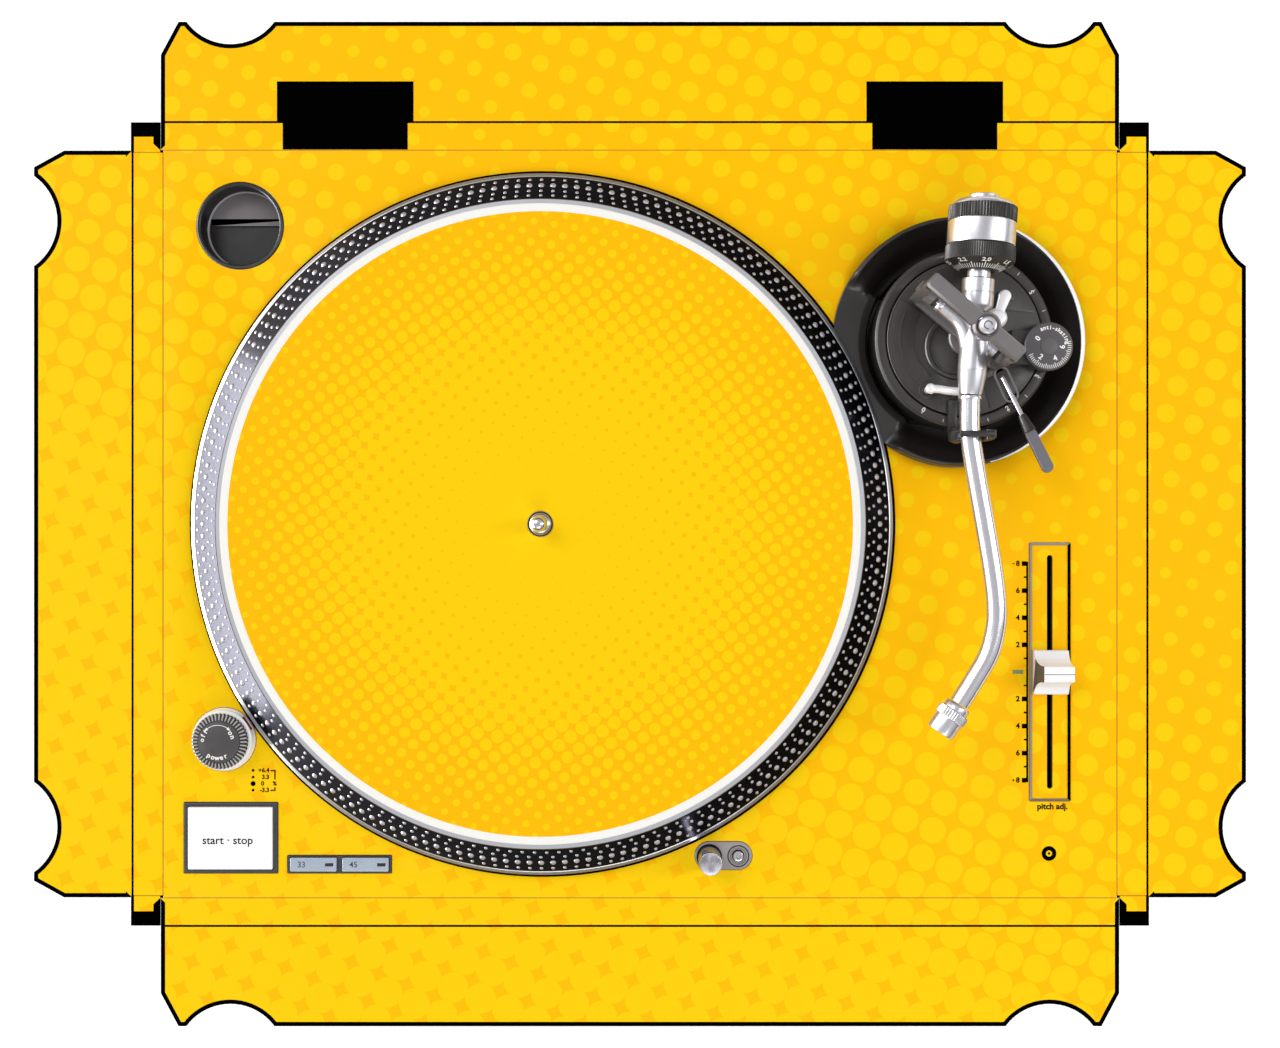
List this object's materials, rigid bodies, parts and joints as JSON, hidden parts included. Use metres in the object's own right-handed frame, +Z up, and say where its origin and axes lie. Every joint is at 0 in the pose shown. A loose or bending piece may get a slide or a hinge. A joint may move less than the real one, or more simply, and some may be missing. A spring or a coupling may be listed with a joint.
{
  "type": "turntable record player",
  "caption": "Direct-drive turntable in a printed die-cut wrap: plinth, platter with slipmat, S-shaped tonearm, pitch fader, keys, pop-up lamp and fold-down side flaps.",
  "frame": {"origin": "middle of the footprint with the wrap's flaps laid flat, on the surface that the feet stand on", "axes": "+X to the right along the deck's long side, +Y to the back, where the hinge sockets are, +Z up"},
  "size_m": [0.5762, 0.4774, 0.1579],
  "materials": {
    "foot_rubber": "matte",
    "base_rubber": "matte black",
    "cast_aluminium": "satin",
    "steel_plate": "zinc plated",
    "black_plastic": "moulded",
    "circuit_board": "solder mask",
    "transformer": "varnished",
    "printed_wrap": "satin printed film",
    "grey_black_moulding": "moulded",
    "satin_metal": "satin",
    "red_lens": "translucent red",
    "knob_grey": "moulded",
    "bezel_dark": "moulded",
    "button_white": "satin",
    "button_pale": "satin",
    "lamp_plate_grey": "moulded",
    "chrome_trim": "polished",
    "knob_white": "satin",
    "motor_metal": "machined",
    "platter_aluminium": "diamond turned",
    "magnet": "sintered",
    "mat_felt": "printed felt",
    "arm_base_black": "satin black",
    "arm_metal": "polished",
    "weight_metal": "satin and knurled"
  },
  "bodies": {
    "root": {"rubber_base": "base_rubber", "cabinet": "cast_aluminium", "bottom_plate": "steel_plate", "hinge_socket_left": "black_plastic", "hinge_socket_right": "black_plastic", "terminal_panel": "black_plastic", "power_inlet": "black_plastic", "main_board": "circuit_board", "power_transformer": "transformer", "deck_sheet": "printed_wrap", "adapter_well": "grey_black_moulding", "strobe_housing": "satin_metal", "strobe_lens": "red_lens", "start_stop_bezel": "bezel_dark", "speed_bezel": "bezel_dark", "lamp_plate": "lamp_plate_grey", "fader_frame": "printed_wrap", "fader_rail": "steel_plate", "motor_stator": "motor_metal", "spindle_bearing": "satin_metal", "arm_dish": "arm_base_black"},
    "platter": {"platter": "platter_aluminium", "slipmat": "mat_felt", "spindle": "chrome_trim", "rotor_magnet": "magnet"},
    "arm_base": {"arm_base_plate": "arm_base_black", "arm_rest": "black_plastic"},
    "height_ring": {"height_ring": "arm_base_black"},
    "height_lock": {"height_lock_lever": "chrome_trim"},
    "anti_skate": {"anti_skate_knob": "knob_grey"},
    "arm_clamp": {"arm_clamp": "black_plastic"},
    "lifter": {"arm_lifter": "chrome_trim"},
    "cue_lever": {"cue_lever": "knob_grey"},
    "yoke": {"arm_yoke": "arm_base_black", "yoke_cap_screw": "chrome_trim"},
    "tonearm": {"arm_housing": "arm_metal", "arm_tube": "arm_metal", "rear_stub": "arm_metal"},
    "counterweight": {"counterweight": "weight_metal"},
    "force_dial": {"force_dial": "black_plastic"},
    "lock_collar": {"lock_collar": "arm_metal"},
    "power_knob": {"power_knob": "knob_grey"},
    "start_stop": {"start_stop_button": "button_white"},
    "speed_33": {"button_33": "button_pale"},
    "speed_45": {"button_45": "button_pale"},
    "target_lamp": {"target_lamp": "satin_metal"},
    "lamp_button": {"lamp_button": "chrome_trim"},
    "pitch_knob": {"pitch_knob": "knob_white"},
    "foot_front_left": {"foot_front_left": "foot_rubber"},
    "tab_front_left": {"tab_front_left": "printed_wrap"},
    "foot_front_right": {"foot_front_right": "foot_rubber"},
    "tab_front_right": {"tab_front_right": "printed_wrap"},
    "foot_back_left": {"foot_back_left": "foot_rubber"},
    "tab_back_left": {"tab_back_left": "printed_wrap"},
    "foot_back_right": {"foot_back_right": "foot_rubber"},
    "tab_back_right": {"tab_back_right": "printed_wrap"},
    "flap_front": {"flap_front": "printed_wrap"},
    "flap_back": {"flap_back": "printed_wrap"},
    "flap_left": {"flap_left": "printed_wrap"},
    "flap_right": {"flap_right": "printed_wrap"}
  },
  "joints": [
    {"name": "platter_spin", "type": "hinge", "parent": "root", "child": "platter", "pos_m": [-0.0463, 0, 0.0939], "axis": [0, 0, 1], "continuous": true},
    {"name": "arm_height", "type": "slide", "parent": "root", "child": "arm_base", "axis": [0, 0, 1], "range_m": [0, 0.006]},
    {"name": "height_ring_turn", "type": "hinge", "parent": "root", "child": "height_ring", "pos_m": [0.1505, 0.086, 0.0939], "axis": [0, 0, 1], "range_deg": [0, 270]},
    {"name": "height_lock_turn", "type": "hinge", "parent": "arm_base", "child": "height_lock", "pos_m": [0.1652, 0.0953, 0.1109], "axis": [0, 0, 1], "range_deg": [0, 50]},
    {"name": "anti_skate_turn", "type": "hinge", "parent": "arm_base", "child": "anti_skate", "pos_m": [0.1875, 0.0815, 0.1159], "axis": [0, 0, 1], "range_deg": [-150, 150]},
    {"name": "arm_clamp_open", "type": "hinge", "parent": "arm_base", "child": "arm_clamp", "pos_m": [0.1565, 0.04, 0.1353], "axis": [0, 1, 0], "range_deg": [0, 100]},
    {"name": "cue_lever_lift", "type": "hinge", "parent": "arm_base", "child": "cue_lever", "pos_m": [0.1683, 0.0679, 0.1069], "axis": [-0.9114, -0.4115, 0], "range_deg": [0, 30]},
    {"name": "lifter_rise", "type": "slide", "parent": "arm_base", "child": "lifter", "axis": [0, 0, 1], "range_m": [0, 0.006]},
    {"name": "tonearm_swing", "type": "hinge", "parent": "arm_base", "child": "yoke", "pos_m": [0.1505, 0.086, 0.1324], "axis": [0, 0, 1], "range_deg": [-46, 0]},
    {"name": "tonearm_tilt", "type": "hinge", "parent": "yoke", "child": "tonearm", "pos_m": [0.1505, 0.086, 0.1324], "axis": [-0.7604, 0.6494, 0], "range_deg": [-1, 6]},
    {"name": "weight_slide", "type": "slide", "parent": "tonearm", "child": "counterweight", "axis": [0.065, 0.9979, 0], "range_m": [-0.003, 0.006]},
    {"name": "dial_turn", "type": "hinge", "parent": "counterweight", "child": "force_dial", "pos_m": [0.1505, 0.086, 0.1324], "axis": [0.065, 0.9979, 0], "range_deg": [-110, 217]},
    {"name": "collar_turn", "type": "hinge", "parent": "tonearm", "child": "lock_collar", "pos_m": [0.1432, -0.0812, 0.1324], "axis": [-0.5662, -0.8243, 0], "range_deg": [0, 90]},
    {"name": "power_turn", "type": "hinge", "parent": "root", "child": "power_knob", "pos_m": [-0.1976, -0.1023, 0.0989], "axis": [0, 0, 1], "range_deg": [0, 60]},
    {"name": "start_stop_press", "type": "slide", "parent": "root", "child": "start_stop", "axis": [0, 0, 1], "range_m": [-0.0015, 0], "stiffness_N_per_m": 300, "springref_m": 0.002},
    {"name": "button_33_press", "type": "slide", "parent": "root", "child": "speed_33", "axis": [0, 0, 1], "range_m": [-0.001, 0], "stiffness_N_per_m": 300, "springref_m": 0.001},
    {"name": "button_45_press", "type": "slide", "parent": "root", "child": "speed_45", "axis": [0, 0, 1], "range_m": [-0.001, 0], "stiffness_N_per_m": 300, "springref_m": 0.001},
    {"name": "lamp_button_press", "type": "slide", "parent": "root", "child": "lamp_button", "axis": [0, 0, 1], "range_m": [-0.001, 0], "stiffness_N_per_m": 300, "springref_m": 0.001},
    {"name": "lamp_pop", "type": "slide", "parent": "root", "child": "target_lamp", "axis": [0, 0, 1], "range_m": [-0.0155, 0]},
    {"name": "pitch_slide", "type": "slide", "parent": "root", "child": "pitch_knob", "axis": [0, 1, 0], "range_m": [-0.05, 0.05]},
    {"name": "flap_front_fold", "type": "hinge", "parent": "root", "child": "flap_front", "pos_m": [0, -0.17785, 0.0931], "axis": [1, 0, 0], "range_deg": [0, 90]},
    {"name": "flap_back_fold", "type": "hinge", "parent": "root", "child": "flap_back", "pos_m": [0, 0.17785, 0.0931], "axis": [-1, 0, 0], "range_deg": [0, 90]},
    {"name": "flap_left_fold", "type": "hinge", "parent": "root", "child": "flap_left", "pos_m": [-0.2269, 0, 0.0931], "axis": [0, -1, 0], "range_deg": [0, 90]},
    {"name": "flap_right_fold", "type": "hinge", "parent": "root", "child": "flap_right", "pos_m": [0.2269, 0, 0.0931], "axis": [0, 1, 0], "range_deg": [0, 90]},
    {"name": "tab_front_left_tuck", "type": "hinge", "parent": "flap_left", "child": "tab_front_left", "pos_m": [-0.235, -0.17675, 0.0931], "axis": [1, 0, 0], "range_deg": [0, 90]},
    {"name": "tab_front_right_tuck", "type": "hinge", "parent": "flap_right", "child": "tab_front_right", "pos_m": [0.235, -0.17675, 0.0931], "axis": [1, 0, 0], "range_deg": [0, 90]},
    {"name": "tab_back_left_tuck", "type": "hinge", "parent": "flap_left", "child": "tab_back_left", "pos_m": [-0.235, 0.17675, 0.0931], "axis": [-1, 0, 0], "range_deg": [0, 90]},
    {"name": "tab_back_right_tuck", "type": "hinge", "parent": "flap_right", "child": "tab_back_right", "pos_m": [0.235, 0.17675, 0.0931], "axis": [-1, 0, 0], "range_deg": [0, 90]},
    {"name": "foot_front_left_turn", "type": "hinge", "parent": "root", "child": "foot_front_left", "pos_m": [-0.1946, -0.146, 0.015], "axis": [0, 0, 1], "range_deg": [-180, 180]},
    {"name": "foot_front_right_turn", "type": "hinge", "parent": "root", "child": "foot_front_right", "pos_m": [0.1946, -0.146, 0.015], "axis": [0, 0, 1], "range_deg": [-180, 180]},
    {"name": "foot_back_left_turn", "type": "hinge", "parent": "root", "child": "foot_back_left", "pos_m": [-0.1946, 0.146, 0.015], "axis": [0, 0, 1], "range_deg": [-180, 180]},
    {"name": "foot_back_right_turn", "type": "hinge", "parent": "root", "child": "foot_back_right", "pos_m": [0.1946, 0.146, 0.015], "axis": [0, 0, 1], "range_deg": [-180, 180]}
  ],
  "couplings": [
    {"joint": "height_ring_turn", "follows": "arm_height", "rad_per_m": 785.4},
    {"joint": "cue_lever_lift", "follows": "lifter_rise", "rad_per_m": 87.266},
    {"joint": "dial_turn", "follows": "weight_slide", "rad_per_m": 628.32},
    {"joint": "tab_front_left_tuck", "follows": "flap_left_fold", "ratio": 1},
    {"joint": "tab_front_right_tuck", "follows": "flap_right_fold", "ratio": 1},
    {"joint": "tab_back_left_tuck", "follows": "flap_left_fold", "ratio": 1},
    {"joint": "tab_back_right_tuck", "follows": "flap_right_fold", "ratio": 1}
  ]
}
